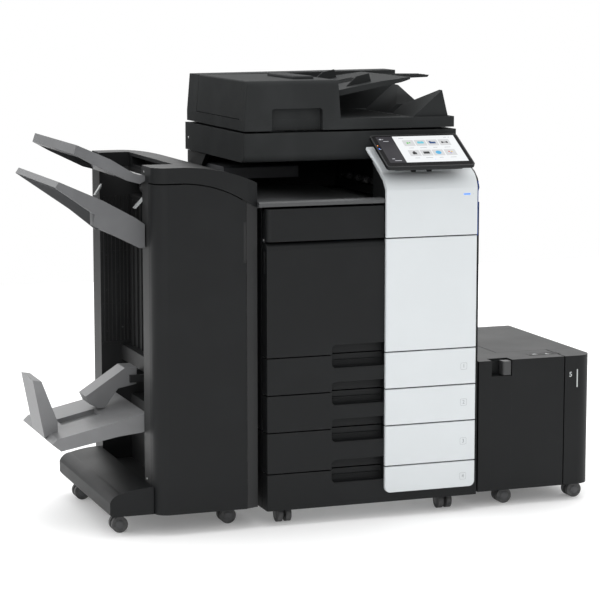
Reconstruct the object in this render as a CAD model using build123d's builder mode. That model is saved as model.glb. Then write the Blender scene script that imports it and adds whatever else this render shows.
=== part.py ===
"""Office photocopier with a document feeder, four paper drawers, a stapling finisher on its left
and a paper deck on its right. Millimetres, +X to the right, +Y to the back, +Z up.

The pieces are drawn from a datum on the floor under the left front edge of the main unit, and are
written out about the middle of the whole machine's footprint.
"""
from build123d import *
from math import cos, radians, sin
import os

# ---- driving sizes: main unit ---------------------------------------------------------------
MAIN_W = 615.0              # width over the side covers
MAIN_D = 650.0              # front panels to rear cover
BASE_Z = 45.0               # underside of the covers above the floor
DRAWER_H = (101.0, 113.0, 102.0, 102.0)     # lowest drawer first
LOWER_DOOR_H = 312.0
UPPER_DOOR_H = 89.0
TRAY_T = 17.0               # output tray, underside to top
CAVITY_H = 96.0             # height of the paper output space
SCAN_H = 78.0
SEAM = 3.5                  # gap between neighbouring panels
COVER_T = 3.0               # wall of the outer covers
FRAME_T = 5.0               # inner frame plates
FRONT_T = 34.0              # thickness of drawer fronts and doors
RETURN_D = 43.0             # how far the fronts wrap round the left side
WHITE_W = 267.4
WHITE_GAP = 9.9             # white panels to the unit's right side
WHITE_T = 10.0
POCKET_X = 185.0            # left end of the finger pockets
POCKET_D = 24.0
POCKET_DOWN = 34.0          # pocket below a seam
POCKET_UP = 26.0            # pocket above a seam
POCKET_R = 12.0             # rounded left corners of the pockets
BOX_WALL = 2.5
BOX_GAP = 8.0               # drawer box to its bay, at the sides
SLIDE_T = 6.0
HINGE_Y = 0.0               # door hinge axis behind the front plane
HINGE_UP = 14.0             # door hinge axis above the door's lower edge
PIN_R = 3.0
RUNNING = 0.05              # radial clearance of pins in their holes
WELD = 0.1                  # seam between the plates of one frame

# ---- scanner and feeder ---------------------------------------------------------------------
SCAN_OUT = 31.0             # scanner past the unit's left side
SCAN_IN = 27.0              # scanner short of the unit's right side
SCAN_Y = (98.0, 637.0)
LID_GAP = 6.0
FEED_IN = (2.0, 6.0)        # feeder short of the scanner's ends
FEED_Y = (98.0, 626.0)
FEED_BASE_H = 29.0
FEED_H = 134.0              # feeder top above its underside
FEED_BLOCK_W = 272.0        # feeder block, from its left end
FEED_FRONT_D = 45.0         # depth of the feeder's front cover
FEED_REAR_Y = 535.0         # front face of the feeder's raised rear cover
FEED_LEAN = 9.0             # left end leans in by this much at the top
LIFT_X = (49.0, 194.0)      # recess for lifting the feeder

# ---- control panel --------------------------------------------------------------------------
PANEL_W = 256.5
PANEL_IN = 38.5             # panel short of the unit's right side
PANEL_OUT = 60.0            # front edge of its top face, in front of the fronts
PANEL_UP = 87.5             # and above the output tray
PANEL_TILT = 29.0
PANEL_L = 156.0
PANEL_T = 12.0
PANEL_AXIS_Y = 30.0         # tilt axis behind the fronts
PANEL_AXIS_UP = 100.5       # and above the output tray
NECK_W = 60.0               # forked neck under the panel
NECK_IN = 82.3              # neck right of the white panels' left edge
EAR_W = 32.0                # ear of the panel between the fork's arms

# ---- finisher -------------------------------------------------------------------------------
FIN_X = (-309.0, -22.0)
FIN_D = 641.0
FIN_Z = 57.5
FIN_DOOR_RIGHT = -57.5
FIN_CORNER_R = 38.0
FIN_SLANT = 15.0            # how far the strip right of the door slants back
ARM_D = 119.0               # depth of the front arm beside the stacking bay
REAR_ARM_Y = 561.0
BAY_WALL_X = -222.0         # ribbed wall at the back of the stacking bay
FIN_TOP_UP = 1.5            # finisher's flat top above the scanner's underside
DOOR_T = 16.0
TRAY_Y = (85.0, 558.0)      # the two stacking trays, front and back
TRAY_TONGUE_Y = (126.0, 554.0)
GRIP_Z = (725.0, 833.0)     # grip notch in the door's right edge
FOOT_X = (-430.0, -316.0)
FOOT_Y = (28.0, 590.0)

# ---- side paper deck ------------------------------------------------------------------------
DECK_W = 353.0
DECK_DOCK = 11.0            # gap between the main unit and the deck
DECK_Y = (13.0, 575.0)
DECK_TOP = 417.0
DECK_R = 45.0               # rounded right front corner
DECK_LID_FROM = 106.0       # lid's left edge from the deck's left side
DECK_LID_Y = (134.0, 520.0)
DECK_SEAM_FROM = 264.0      # seam in the deck's front
DECK_LEVER = (39.0, 101.0)  # lever's recess from the deck's left side
LEVER_H = 45.0

# ---- casters --------------------------------------------------------------------------------
WHEEL_R = 22.0
WHEEL_SPREAD = 19.5         # outer face of each twin wheel from the caster's middle
AXLE_R = 4.0
TRAIL = 14.0                # axle behind the swivel axis
SPINE_T = 9.0               # caster body between its two wheels
STEM_R = 18.0
PLATE_T = 2.5
WHEEL_GAP = 0.5             # wheel to the caster's plate
MAIN_CASTER_X = (64.0, 540.0)
MAIN_FRONT_AXLE_Y = 62.0
MAIN_REAR_AXLE_Y = 560.0
FIN_CASTER_X = (-388.0, -84.0)
FIN_CASTER_Y = (104.0, 511.0)
DECK_CASTER_X = (98.0, 318.0)       # from the deck's left side
DECK_CASTER_Y = (69.0, 510.0)

# ---- levels and places worked out from the sizes --------------------------------------------
SEAM_Z = [BASE_Z + sum(DRAWER_H[:i]) for i in range(5)]
DOOR_Z = SEAM_Z[4]
UPPER_Z = DOOR_Z + LOWER_DOOR_H
TRAY_Z = UPPER_Z + UPPER_DOOR_H + SEAM
TRAY_TOP = TRAY_Z + TRAY_T
SCAN_Z = TRAY_TOP + CAVITY_H
SCAN_TOP = SCAN_Z + SCAN_H
FEED_Z = SCAN_TOP + LID_GAP
FEED_DECK_Z = FEED_Z + FEED_BASE_H
FEED_TOP = FEED_Z + FEED_H
WHITE = (MAIN_W - WHITE_GAP - WHITE_W, MAIN_W - WHITE_GAP)
WHITE_X = WHITE[0]
SCAN_X = (-SCAN_OUT, MAIN_W - SCAN_IN)
FEED_X = (SCAN_X[0] + FEED_IN[0], SCAN_X[1] - FEED_IN[1])
PANEL_X = (MAIN_W - PANEL_IN - PANEL_W, MAIN_W - PANEL_IN)
PANEL_FRONT = (-PANEL_OUT, TRAY_TOP + PANEL_UP)
PANEL_AXIS = (PANEL_AXIS_Y, TRAY_TOP + PANEL_AXIS_UP)
NECK_X = (WHITE_X + NECK_IN, WHITE_X + NECK_IN + NECK_W)
EAR_X = ((sum(NECK_X) - EAR_W) / 2, (sum(NECK_X) + EAR_W) / 2)
FIN_TOP = SCAN_Z + FIN_TOP_UP
INNER_X = (COVER_T + 2.0, MAIN_W - COVER_T - 2.0)
BAY_X = (INNER_X[0] + FRAME_T, INNER_X[1] - FRAME_T)
BACK_Y = MAIN_D - COVER_T
DECK_X = (MAIN_W + DECK_DOCK, MAIN_W + DECK_DOCK + DECK_W)
DECK_Z = (2 * WHEEL_R + WHEEL_GAP + PLATE_T, DECK_TOP)
DECK_LID_X = (DECK_X[0] + DECK_LID_FROM, DECK_X[1] - 3)
DECK_SEAM_X = DECK_X[0] + DECK_SEAM_FROM
LEVER_X = (DECK_X[0] + DECK_LEVER[0], DECK_X[0] + DECK_LEVER[1])
OUT_X = FIN_X[1] + 0.5      # the output tray ends against the finisher
FENCE_X = -592.0            # outer end of the booklet tray's fence
TO_MIDDLE = Location((-(DECK_X[1] + FENCE_X) / 2, -(MAIN_D + PANEL_FRONT[0]) / 2, 0.0))


def block(x, y, z, mode=Mode.ADD):
    """Box between the two values of each pair."""
    with Locations(((x[0] + x[1]) / 2, (y[0] + y[1]) / 2, (z[0] + z[1]) / 2)):
        Box(x[1] - x[0], y[1] - y[0], z[1] - z[0], mode=mode)


def prism(plane, points, depth, mode=Mode.ADD):
    """Closed outline through the points, carried along the plane's normal."""
    with BuildSketch(plane) as outline:
        with BuildLine():
            Polyline(*points, close=True)
        make_face()
    extrude(outline.sketch, amount=depth, mode=mode)


def side_prism(x, points, mode=Mode.ADD):
    """Outline given in y and z, between two x values."""
    prism(Plane.YZ.offset(x[0]), points, x[1] - x[0], mode)


def front_prism(y, points, mode=Mode.ADD):
    """Outline given in x and z, between two y values."""
    prism(Plane.XZ.offset(-y[1]), points, y[1] - y[0], mode)


def plan_prism(z, points, mode=Mode.ADD):
    """Outline given in x and y, between two heights."""
    prism(Plane.XY.offset(z[0]), points, z[1] - z[0], mode)


def rod_x(x, yz, radius, mode=Mode.ADD):
    """Round bar along X."""
    with BuildSketch(Plane.YZ.offset(x[0])) as disc:
        with Locations(yz):
            Circle(radius)
    extrude(disc.sketch, amount=x[1] - x[0], mode=mode)


def rod_y(y, xz, radius, mode=Mode.ADD):
    """Round bar along Y."""
    with BuildSketch(Plane.XZ.offset(-y[1])) as disc:
        with Locations(xz):
            Circle(radius)
    extrude(disc.sketch, amount=y[1] - y[0], mode=mode)


def save(piece, name):
    """Label a finished piece and write it about the middle of the footprint."""
    finished = piece.part.moved(TO_MIDDLE)
    finished.label = name
    export_step(finished, f"parts/{name}.step")


os.makedirs("parts", exist_ok=True)

# ================================ main unit: frame and covers ================================
with BuildPart() as chassis:
    block(INNER_X, (RETURN_D + 1, BACK_Y - 1), (FIN_Z, FIN_Z + FRAME_T))
    for x in ((INNER_X[0], BAY_X[0]), (BAY_X[1], INNER_X[1])):
        block(x, (RETURN_D + 1, BACK_Y - 1), (FIN_Z + FRAME_T + WELD, TRAY_Z - 12))
    bay = (BAY_X[0] + WELD, BAY_X[1] - WELD)
    block(bay, (585, 590), (FIN_Z + FRAME_T + WELD, TRAY_Z - 12))
    block(bay, (60, 585 - WELD), (DOOR_Z + 2, DOOR_Z + 2 + FRAME_T))
    block(bay, (RETURN_D + 1, 585 - WELD), (TRAY_Z - 12 - FRAME_T, TRAY_Z - 12))
    for i in range(4):
        z = SEAM_Z[i] + 46
        for x in ((bay[0], bay[0] + SLIDE_T), (bay[1] - SLIDE_T, bay[1])):
            block(x, (62, 580), (z, z + 14))
save(chassis, "chassis")

with BuildPart() as left_covers:
    block((0, COVER_T), (RETURN_D + SEAM, BACK_Y), (SEAM_Z[2] + SEAM, TRAY_Z - SEAM))
    block((0, COVER_T), (RETURN_D + SEAM, BACK_Y), (BASE_Z, SEAM_Z[2]))
save(left_covers, "left_covers")

with BuildPart() as right_cover:
    block((MAIN_W - COVER_T, MAIN_W), (0, BACK_Y), (BASE_Z, TRAY_Z - SEAM))
save(right_cover, "right_cover")

with BuildPart() as rear_cover:
    block((0, MAIN_W), (BACK_Y, MAIN_D), (BASE_Z, SCAN_Z - 4))
    for row in range(9):
        block((60, 240), (BACK_Y, MAIN_D), (UPPER_Z - 215 + 14 * row, UPPER_Z - 210 + 14 * row), Mode.SUBTRACT)
    block((70, 112), (BACK_Y, MAIN_D), (110, 140), Mode.SUBTRACT)
    block((70.5, 111.5), (BACK_Y - 25, MAIN_D - 1), (110.5, 139.5))
    block((76, 106), (MAIN_D - 18, MAIN_D), (115, 135), Mode.SUBTRACT)
    for x in (83, 91, 99):
        block((x - 1, x + 1), (MAIN_D - 18, MAIN_D - 4), (121, 129))
save(rear_cover, "rear_cover")

# ---- inside the main unit -------------------------------------------------------------------
ENGINE_Z = DOOR_Z + 2 + FRAME_T
with BuildPart() as imaging_units:
    block((60, BAY_X[1] - 60), (80, 500), (ENGINE_Z, ENGINE_Z + 62))
    for i in range(4):
        x = 70 + 118 * i
        block((x, x + 88), (62, 520), (ENGINE_Z + 80, ENGINE_Z + 150))
        rod_y((62, 520), (x + 44, ENGINE_Z + 152), 15)
save(imaging_units, "imaging_units")

with BuildPart() as transfer_belt_unit:
    belt_z = ENGINE_Z + 196
    block((70, 540), (66, 520), (belt_z - 20, belt_z + 20))
    rod_y((66, 520), (70, belt_z), 20)
    rod_y((66, 520), (540, belt_z), 20)
save(transfer_belt_unit, "transfer_belt_unit")

with BuildPart() as fuser_unit:
    block((BAY_X[1] - 100, BAY_X[1] - 10), (90, 560), (UPPER_Z - 20, TRAY_Z - 24))
save(fuser_unit, "fuser_unit")

with BuildPart() as toner_bottles:
    for i in range(4):
        place = (62 + 84 * i, UPPER_Z + 38)
        rod_y((56, 470), place, 30)
        rod_y((46, 56), place, 22)
save(toner_bottles, "toner_bottles")

# ================================ paper drawers ==============================================
def round_pocket_corner(z):
    """Round the left end of the pocket edge at one height."""
    part = BuildPart._get_context().part
    edges = part.edges().filter_by(Axis.Y)
    fillet(edges.sort_by_distance((POCKET_X, POCKET_D / 2, z))[0], radius=POCKET_R)


def front_with_pockets(bottom, top, pocket_below, pocket_above):
    """Drawer front or door slab with its left return and the halves of two finger pockets."""
    block((0, MAIN_W - COVER_T - 0.5), (0, FRONT_T), (bottom, top))
    block((0, COVER_T), (FRONT_T, RETURN_D), (bottom, top))
    if pocket_above:
        block((POCKET_X, WHITE_X), (0, POCKET_D), (top - POCKET_DOWN, top), Mode.SUBTRACT)
        round_pocket_corner(top - POCKET_DOWN)
    if pocket_below:
        block((POCKET_X, WHITE_X), (0, POCKET_D), (bottom, bottom + POCKET_UP), Mode.SUBTRACT)
        round_pocket_corner(bottom + POCKET_UP)


def drawer(number, level):
    """Front with its open paper box, and the white panel fixed on the front."""
    bottom = SEAM_Z[level] + (0 if level == 0 else SEAM / 2)
    top = SEAM_Z[level + 1] - SEAM / 2
    box_x = (BAY_X[0] + BOX_GAP, BAY_X[1] - BOX_GAP)
    box_y = (FRONT_T + WELD, 572)
    box_low = max(bottom + 8, FIN_Z + FRAME_T + 3)
    box_z = (box_low + BOX_WALL + WELD, top - 10)
    inner_x = (box_x[0] + BOX_WALL + WELD, box_x[1] - BOX_WALL - WELD)
    with BuildPart() as drawer_tray:
        front_with_pockets(bottom, top, level > 0, True)
        left = drawer_tray.edges().filter_by(Axis.Z).group_by(Axis.Y)[0].sort_by(Axis.X)[0]
        fillet(left, radius=5)
        block(box_x, box_y, (box_low, box_low + BOX_WALL))
        for x in ((box_x[0], box_x[0] + BOX_WALL), (box_x[1] - BOX_WALL, box_x[1])):
            block(x, box_y, box_z)
        for y in ((box_y[0], box_y[0] + BOX_WALL), (box_y[1] - BOX_WALL, box_y[1])):
            block(inner_x, y, box_z)
    save(drawer_tray, f"drawer_{number}")

    with BuildPart() as drawer_panel:
        panel_low = bottom + 27 if level == 0 else bottom
        block(WHITE, (-WHITE_T, 0), (panel_low, top))
        face_edges = drawer_panel.edges().group_by(Axis.Y)[0]
        if level == 0:
            low = drawer_panel.edges().filter_by(Axis.Y).group_by(Axis.Z)[0]
            fillet(low, radius=16)
            face_edges = drawer_panel.edges().group_by(Axis.Y)[0]
        chamfer(face_edges, length=1.2)
    save(drawer_panel, f"drawer_panel_{number}")


for order, number in enumerate((4, 3, 2, 1)):
    drawer(number, order)

# ================================ doors ======================================================
with BuildPart() as lower_front_door:
    front_with_pockets(DOOR_Z + SEAM / 2, UPPER_Z - SEAM / 2, True, False)
    block((0, COVER_T), (FRONT_T - 22, FRONT_T - 10), (UPPER_Z - 83, UPPER_Z - 25), Mode.SUBTRACT)
    rim = lower_front_door.edges().filter_by(Axis.X).group_by(Axis.Z)[-1].sort_by(Axis.Y)[0]
    fillet(rim, radius=20)
save(lower_front_door, "lower_front_door")

with BuildPart() as lower_door_panel:
    block(WHITE, (-WHITE_T, 0), (DOOR_Z + SEAM / 2, UPPER_Z - SEAM / 2))
    chamfer(lower_door_panel.edges().group_by(Axis.Y)[0], length=1.2)
save(lower_door_panel, "lower_door_panel")

with BuildPart() as upper_front_door:
    block((0, WHITE_X - 3), (0, 20), (UPPER_Z + SEAM / 2, UPPER_Z + UPPER_DOOR_H))
    side_prism((0, COVER_T), [(20, UPPER_Z + SEAM / 2 + 6), (RETURN_D, UPPER_Z + SEAM / 2 + 6),
                              (RETURN_D, UPPER_Z + 52), (20, UPPER_Z + UPPER_DOOR_H)])
    corner = upper_front_door.edges().filter_by(Axis.Z).group_by(Axis.Y)[0].sort_by(Axis.X)[0]
    fillet(corner, radius=14)
save(upper_front_door, "upper_front_door")

# ================================ output tray and column =====================================
with BuildPart() as output_tray:
    block((OUT_X, WHITE_X - 2), (-2, 24), (TRAY_Z + SEAM, TRAY_TOP))
    front_prism((24, 560), [(OUT_X, TRAY_Z), (WHITE_X - 2, TRAY_Z), (WHITE_X - 2, TRAY_Z + 6),
                            (250, TRAY_Z + 6), (60, TRAY_TOP - 3), (OUT_X, TRAY_TOP - 3)])
    lip = output_tray.edges().filter_by(Axis.X).group_by(Axis.Y)[0].sort_by(Axis.Z)[-1]
    chamfer(lip, length=4, length2=6)
save(output_tray, "output_tray")

COLUMN_CURVE = ((-WHITE_T, TRAY_TOP + 20.5), (2.0, TRAY_TOP + 47.5), (24.0, TRAY_TOP + 64.5))
COLUMN_BACK = ((0.0, TRAY_TOP + 20.5), (20.0, TRAY_TOP + 45.5), (92.0, TRAY_TOP + 87.5))
with BuildPart() as column_housing:
    side_prism((WHITE_X + 2, MAIN_W - COVER_T - 0.5),
               [(0.5, UPPER_Z + SEAM / 2), (42, UPPER_Z + SEAM / 2), (42, TRAY_Z - 10),
                (96, TRAY_Z - 10), (96, COLUMN_BACK[2][1] + 2), (92, COLUMN_BACK[2][1] - 0.5),
                (20, COLUMN_BACK[1][1] - 0.5), (0.5, COLUMN_BACK[0][1]), (0.5, TRAY_Z)])
    side_prism((WHITE[1] + 1, MAIN_W - COVER_T - 0.5),
               [(1, UPPER_Z + SEAM / 2), (1, TRAY_TOP + 5.5), (COLUMN_CURVE[0][0] + 2, COLUMN_CURVE[0][1]),
                (COLUMN_CURVE[1][0] + 2, COLUMN_CURVE[1][1] - 2),
                (COLUMN_CURVE[2][0] + 1, COLUMN_CURVE[2][1] - 2),
                (90, COLUMN_BACK[2][1] + 4), (90, COLUMN_BACK[2][1] - 4)])
    for x in ((NECK_X[0], EAR_X[0] - 0.5), (EAR_X[1] + 0.5, NECK_X[1])):
        side_prism(x, [(16, PANEL_AXIS[1] - 35), (64, PANEL_AXIS[1] - 14), (PANEL_AXIS[0] + 8, PANEL_AXIS[1]),
                       (PANEL_AXIS[0] - 8, PANEL_AXIS[1])])
        rod_x(x, PANEL_AXIS, 8)
    rod_x(NECK_X, PANEL_AXIS, PIN_R)
save(column_housing, "column_housing")

with BuildPart() as column_cover:
    with BuildSketch(Plane.YZ.offset(WHITE[0])) as section:
        with BuildLine():
            Line((-WHITE_T, UPPER_Z + SEAM / 2), COLUMN_CURVE[0])
            ThreePointArc(*COLUMN_CURVE)
            Polyline(COLUMN_CURVE[2], (92, COLUMN_BACK[2][1] + 7), COLUMN_BACK[2], COLUMN_BACK[1],
                     COLUMN_BACK[0], (0, UPPER_Z + SEAM / 2), (-WHITE_T, UPPER_Z + SEAM / 2))
        make_face()
    extrude(section.sketch, amount=WHITE_W)
save(column_cover, "column_cover")

with BuildPart() as upper_frame:
    wall_x = WHITE_X + 66.3
    block((wall_x, MAIN_W - COVER_T - 0.5), (97, 562 - WELD), (TRAY_Z, SCAN_Z - 0.5))
    block((wall_x, wall_x + 16), (150, 520), (TRAY_TOP + 6, TRAY_TOP + 34), Mode.SUBTRACT)
    block((OUT_X, MAIN_W - COVER_T - 0.5), (562, BACK_Y), (TRAY_Z, SCAN_Z - SEAM))
    side_prism((OUT_X, OUT_X + 14), [(470, SCAN_Z - SEAM), (562 - WELD, TRAY_TOP + 20),
                                     (562 - WELD, SCAN_Z - SEAM)])
save(upper_frame, "upper_frame")

with BuildPart() as relay_unit:
    block((OUT_X + 15, 215), (352, 560), (SCAN_Z - 65, SCAN_Z - 31))
    fillet(relay_unit.edges().filter_by(Axis.X).group_by(Axis.Z)[-1].sort_by(Axis.Y)[0], 6)
save(relay_unit, "relay_unit")

# ================================ scanner ====================================================
RAIL = (310.0, SCAN_Z + 30)
SCAN_WALL = 12.0
GLASS_X = (20.0, 480.0)     # platen opening
GLASS_Y = (150.0, 470.0)
with BuildPart() as scanner_housing:
    beam_y = (SCAN_Y[0], SCAN_Y[0] + 2 * SCAN_WALL)
    block(SCAN_X, beam_y, (SCAN_Z, SCAN_TOP))
    fillet(scanner_housing.edges().filter_by(Axis.X).group_by(Axis.Z)[0].sort_by(Axis.Y)[0], 20)
    fillet(scanner_housing.edges().filter_by(Axis.Z).group_by(Axis.Y)[0], 5)
    inside_y = (beam_y[1] + WELD, SCAN_Y[1] - SCAN_WALL - WELD)
    block(SCAN_X, (beam_y[1] + WELD, SCAN_Y[1]), (SCAN_Z, SCAN_Z + 10))
    walls_z = (SCAN_Z + 10 + WELD, SCAN_TOP - 8 - WELD)
    for x in ((SCAN_X[0], SCAN_X[0] + SCAN_WALL), (SCAN_X[1] - SCAN_WALL, SCAN_X[1])):
        block(x, inside_y, walls_z)
    block(SCAN_X, (inside_y[1] + WELD, SCAN_Y[1]), walls_z)
    for y in ((beam_y[1] + WELD, GLASS_Y[0]), (GLASS_Y[1], SCAN_Y[1])):
        block(SCAN_X, y, (SCAN_TOP - 8, SCAN_TOP))
    for x in ((SCAN_X[0], GLASS_X[0]), (GLASS_X[1], SCAN_X[1])):
        block(x, (GLASS_Y[0] + WELD, GLASS_Y[1] - WELD), (SCAN_TOP - 8, SCAN_TOP))
    rod_x((SCAN_X[0] + SCAN_WALL + WELD, SCAN_X[1] - SCAN_WALL - WELD), RAIL, 5)
save(scanner_housing, "scanner_housing")

with BuildPart() as platen_glass:
    block((GLASS_X[0] + 0.3, GLASS_X[1] - 0.3), (GLASS_Y[0] + 0.3, GLASS_Y[1] - 0.3), (SCAN_TOP - 4, SCAN_TOP))
save(platen_glass, "platen_glass")

with BuildPart() as scan_carriage:
    block((0, 52), (130, 500), (SCAN_Z + 18, SCAN_TOP - 16))
    rod_x((0, 52), RAIL, 5 + RUNNING, Mode.SUBTRACT)
save(scan_carriage, "scan_carriage")

# ================================ document feeder ============================================
BLOCK_X1 = FEED_X[0] + FEED_BLOCK_W
FRONT_Y1 = FEED_Y[0] + FEED_FRONT_D
with BuildPart() as feeder_base:
    block(FEED_X, FEED_Y, (FEED_Z, FEED_DECK_Z))
    fillet(feeder_base.edges().filter_by(Axis.Z).group_by(Axis.Y)[0], 5)
    block(LIFT_X, (FEED_Y[0], FEED_Y[0] + 22), (FEED_Z, FEED_DECK_Z), Mode.SUBTRACT)
    for y, tall, short in (((108, 262), 128, 262), ((300, 470), 430, 300)):
        front_prism(y, [(462, FEED_DECK_Z), (548, FEED_DECK_Z + 72), (566, FEED_DECK_Z)])
        side_prism((455, 575), [(short, FEED_DECK_Z + 24), (short, FEED_DECK_Z + 90),
                                (tall, FEED_DECK_Z + 90), (tall, FEED_DECK_Z + 72)], Mode.SUBTRACT)
save(feeder_base, "feeder_base")

with BuildPart() as platen_pad:
    block((GLASS_X[0] + 4, GLASS_X[1] - 4), (GLASS_Y[0] + 4, GLASS_Y[1] - 4), (SCAN_TOP + 0.5, FEED_Z))
save(platen_pad, "platen_pad")

with BuildPart() as feeder_end_covers:
    front_prism((FEED_Y[0], FRONT_Y1), [(FEED_X[0], FEED_DECK_Z), (BLOCK_X1 + 3, FEED_DECK_Z),
                                        (BLOCK_X1 - 5, FEED_TOP), (FEED_X[0] + FEED_LEAN, FEED_TOP)])
    block(LIFT_X, (FEED_Y[0], FEED_Y[0] + 22), (FEED_DECK_Z, FEED_DECK_Z + 30), Mode.SUBTRACT)
    inner = feeder_end_covers.edges().filter_by(Axis.Y)
    for x in LIFT_X:
        fillet(inner.sort_by_distance((x, FEED_Y[0] + 11, FEED_DECK_Z + 30))[0], radius=8)
        inner = feeder_end_covers.edges().filter_by(Axis.Y)
    top = feeder_end_covers.edges().filter_by(Axis.X).group_by(Axis.Z)[-1].sort_by(Axis.Y)[0]
    fillet(top, radius=14)
    fillet(feeder_end_covers.edges().sort_by_distance((FEED_X[0] + 2, FEED_Y[0], FEED_DECK_Z + 50))[0], radius=5)
    front_prism((FEED_REAR_Y, FEED_Y[1]), [(FEED_X[0], FEED_DECK_Z), (FEED_X[1], FEED_DECK_Z),
                                           (FEED_X[1], FEED_TOP + 5), (FEED_X[0] + FEED_LEAN, FEED_TOP)])
save(feeder_end_covers, "feeder_end_covers")

with BuildPart() as feeder_cover:
    front_prism((FRONT_Y1 + 1.5, FEED_REAR_Y - 1.5), [(FEED_X[0] + 0.8, FEED_DECK_Z + 2),
                (236, FEED_DECK_Z + 2), (236, FEED_TOP), (FEED_X[0] + FEED_LEAN, FEED_TOP)])
    block((FEED_X[0] + FEED_LEAN + 6, 236), (FRONT_Y1 + 8, FEED_REAR_Y - 8),
          (FEED_DECK_Z + 2, FEED_TOP - 6), Mode.SUBTRACT)
    ends = feeder_cover.edges().filter_by(Axis.Y).group_by(Axis.Z)[-1].sort_by(Axis.X)[0]
    fillet(ends, radius=5)
save(feeder_cover, "feeder_cover")

with BuildPart() as feeder_pickup_roller:
    rod_y((FRONT_Y1 + 8.2, FEED_REAR_Y - 8.2), (190, FEED_TOP - 32), 5)
    for y in (300, 350):
        rod_y((y, y + 30), (190, FEED_TOP - 32), 16)
save(feeder_pickup_roller, "feeder_pickup_roller")

INPUT_AXIS = (252.0, FEED_TOP - 40)
with BuildPart() as feeder_input_tray:
    front_prism((150, 520), [(252, INPUT_AXIS[1] - 4), (262, INPUT_AXIS[1] - 6), (444, INPUT_AXIS[1] + 28),
                             (470, INPUT_AXIS[1] + 36), (470, INPUT_AXIS[1] + 42),
                             (384, INPUT_AXIS[1] + 32), (262, INPUT_AXIS[1] + 10),
                             (252, INPUT_AXIS[1] + 6)])
    front_prism((300, 372), [(440, INPUT_AXIS[1] + 30), (585, INPUT_AXIS[1] + 34),
                             (590, INPUT_AXIS[1] + 40), (470, INPUT_AXIS[1] + 42)])
save(feeder_input_tray, "feeder_input_tray")


def document_guide(name, y):
    """Upright side guide that slides across the input tray."""
    with BuildPart() as guide:
        front_prism(y, [(300, INPUT_AXIS[1] + 17.4), (372, INPUT_AXIS[1] + 30.3),
                        (366, INPUT_AXIS[1] + 52), (330, INPUT_AXIS[1] + 44)])
    save(guide, name)


document_guide("document_guide_front", (196, 202))
document_guide("document_guide_rear", (468, 474))

# ================================ control panel ==============================================
tilt = radians(PANEL_TILT)
PANEL_BACK = (PANEL_FRONT[0] + PANEL_L * cos(tilt), PANEL_FRONT[1] + PANEL_L * sin(tilt))
PANEL_MID = ((PANEL_X[0] + PANEL_X[1]) / 2, (PANEL_FRONT[0] + PANEL_BACK[0]) / 2,
             (PANEL_FRONT[1] + PANEL_BACK[1]) / 2)
panel_face = Plane(origin=PANEL_MID, x_dir=(1, 0, 0), z_dir=(0, -sin(tilt), cos(tilt)))

with BuildPart() as panel_housing:
    with BuildSketch(panel_face):
        RectangleRounded(PANEL_W, PANEL_L, 9)
    extrude(amount=-PANEL_T)
    chamfer(panel_housing.edges().group_by(Axis((0, 0, 0), panel_face.z_dir))[0], length=3)
    with BuildSketch(panel_face):
        RectangleRounded(PANEL_W - 8, PANEL_L - 8, 6)
    extrude(amount=-1.5, mode=Mode.SUBTRACT)
    side_prism(EAR_X, [(PANEL_AXIS[0] - 8, PANEL_AXIS[1]), (PANEL_AXIS[0] + 8, PANEL_AXIS[1]),
                       (PANEL_AXIS[0] + 4, PANEL_AXIS[1] + 27), (PANEL_AXIS[0] - 20, PANEL_AXIS[1] + 14)])
    rod_x(EAR_X, PANEL_AXIS, 8)
    rod_x(EAR_X, PANEL_AXIS, PIN_R + RUNNING, Mode.SUBTRACT)
save(panel_housing, "panel_housing")

with BuildPart() as panel_screen:
    with BuildSketch(panel_face.offset(-0.4)):
        RectangleRounded(PANEL_W - 8.6, PANEL_L - 8.6, 6)
    extrude(amount=-1.1)
save(panel_screen, "panel_screen")

# ================================ finisher ===================================================
CURVE_X = -235.0            # where the finisher's top starts to curve down
GAP_Z = (FIN_TOP - 41, FIN_TOP - 94)    # gap over the door, at the curve's start and the door's end
TOP_END_Z = FIN_TOP - 47    # top cover at its right end
FIN_CORE_Y = (DOOR_T + 2, REAR_ARM_Y - WELD)
EXIT_Z = (FIN_TOP - 120, FIN_TOP - 66)  # sheet exit over the lower stacking tray
BOOK_Z = (285.0, 388.0)     # booklet exit
ARM_AXIS = (-288.0, 378.0)  # booklet arm's pin, x and z


def cut_above_gap(lift=0.0):
    """Take away all that stands above the curved gap over the finisher's door."""
    with BuildSketch(Plane.XZ.offset(-FIN_D - 1)) as above:
        with BuildLine():
            flat = Line((FIN_X[0] - 20, GAP_Z[0] + lift), (CURVE_X, GAP_Z[0] + lift))
            bend = TangentArc(flat @ 1, (FIN_DOOR_RIGHT, GAP_Z[1] + lift), tangent=(1, 0))
            Polyline(bend @ 1, (FIN_X[1] + 1, GAP_Z[1] + lift - 20), (FIN_X[1] + 1, 1100),
                     (FIN_X[0] - 20, 1100), flat @ 0)
        make_face()
    extrude(above.sketch, amount=FIN_D + 2, mode=Mode.SUBTRACT)


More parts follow.
